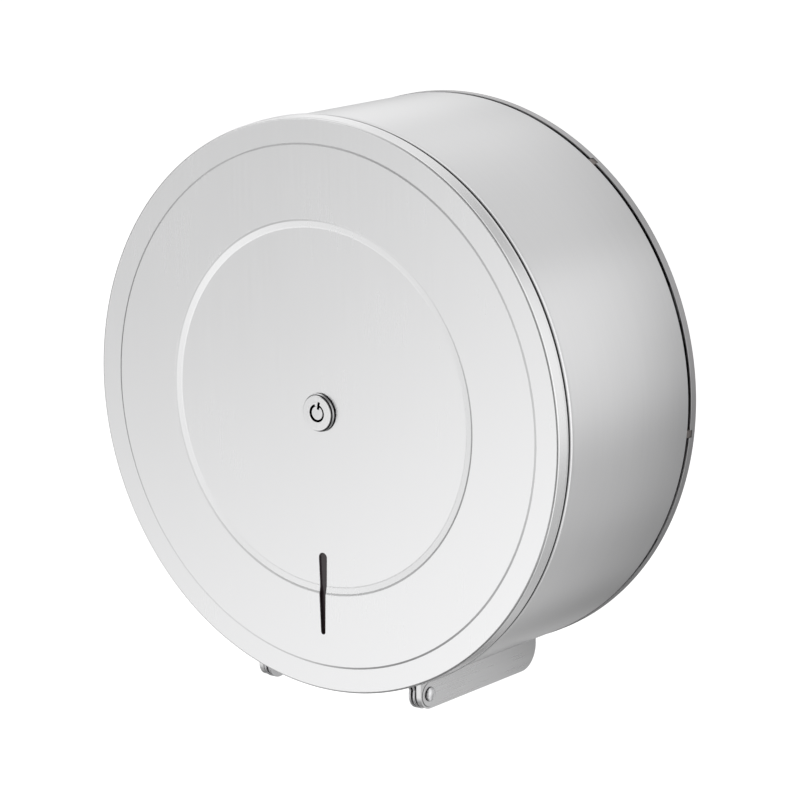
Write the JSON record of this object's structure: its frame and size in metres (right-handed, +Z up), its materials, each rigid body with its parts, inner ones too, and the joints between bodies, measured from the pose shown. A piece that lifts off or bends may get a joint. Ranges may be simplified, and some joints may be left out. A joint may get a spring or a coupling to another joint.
{
  "type": "jumbo toilet roll dispenser",
  "caption": "Round stainless steel wall dispenser for jumbo toilet rolls, with a hinged front lid, a central lock, a level slot and a bottom paper outlet between two cheeks.",
  "frame": {"origin": "on the drum's axis, in the plane of the wall plate's rear face", "axes": "+Z up, -Y out of the front lid, +Y into the wall, +X to the right seen from the front"},
  "size_m": [0.3104, 0.1291, 0.3156],
  "materials": {
    "wall_plate_steel": "satin stainless sheet",
    "drum_steel": "satin stainless sheet, fine grain along the band",
    "inner_steel": "plain mill finish",
    "cheek_steel": "satin stainless sheet",
    "blade_steel": "bright cut edge",
    "rivet_steel": "bright domed head",
    "lid_steel": "very fine satin",
    "zinc_plated_steel": "clear zinc plating",
    "lock_chrome": "satin chrome plating",
    "plug_metal": "plated, darker in the keyway",
    "spacer_rubber": "matt, dark brown",
    "washer_nylon": "plain moulded",
    "hub_plastic": "fine moulded texture",
    "smoked_window": "smoked, glossy"
  },
  "bodies": {
    "housing": {"back_plate": "wall_plate_steel", "bracket_studs": "zinc_plated_steel", "drum_brackets": "inner_steel", "bracket_nuts": "zinc_plated_steel", "gap_spacers": "spacer_rubber", "drum_shell": "drum_steel", "outlet_cheek_left": "cheek_steel", "outlet_cheek_right": "cheek_steel", "tear_blade_left": "blade_steel", "tear_blade_right": "blade_steel", "hinge_pin_left": "rivet_steel", "hinge_pin_right": "rivet_steel", "hinge_washers": "washer_nylon", "spindle_flange": "zinc_plated_steel", "spindle_studs": "zinc_plated_steel", "spindle_nuts": "zinc_plated_steel", "spindle_post": "zinc_plated_steel", "thrust_washer": "washer_nylon", "keeper_bracket": "inner_steel", "keeper_screws": "zinc_plated_steel"},
    "lid": {"front_lid": "lid_steel", "lid_lug_left": "inner_steel", "lid_lug_right": "inner_steel", "level_window": "smoked_window", "lid_buffers": "spacer_rubber", "lock_body": "lock_chrome", "lock_washer": "zinc_plated_steel", "lock_nut": "zinc_plated_steel"},
    "lock": {"lock_plug": "plug_metal", "lock_cam": "zinc_plated_steel", "cam_screw": "zinc_plated_steel"},
    "hub": {"roll_hub": "hub_plastic"}
  },
  "joints": [
    {"name": "lid_hinge", "type": "hinge", "parent": "housing", "child": "lid", "pos_m": [0, -0.107, -0.15196], "axis": [1, 0, 0], "range_deg": [0, 165]},
    {"name": "lock_turn", "type": "hinge", "parent": "lid", "child": "lock", "pos_m": [0, -0.1064, -0.002], "axis": [0, 1, 0], "range_deg": [0, 90]},
    {"name": "hub_spin", "type": "hinge", "parent": "housing", "child": "hub", "pos_m": [0, -0.05, -0.002], "axis": [0, 1, 0], "continuous": true}
  ]
}
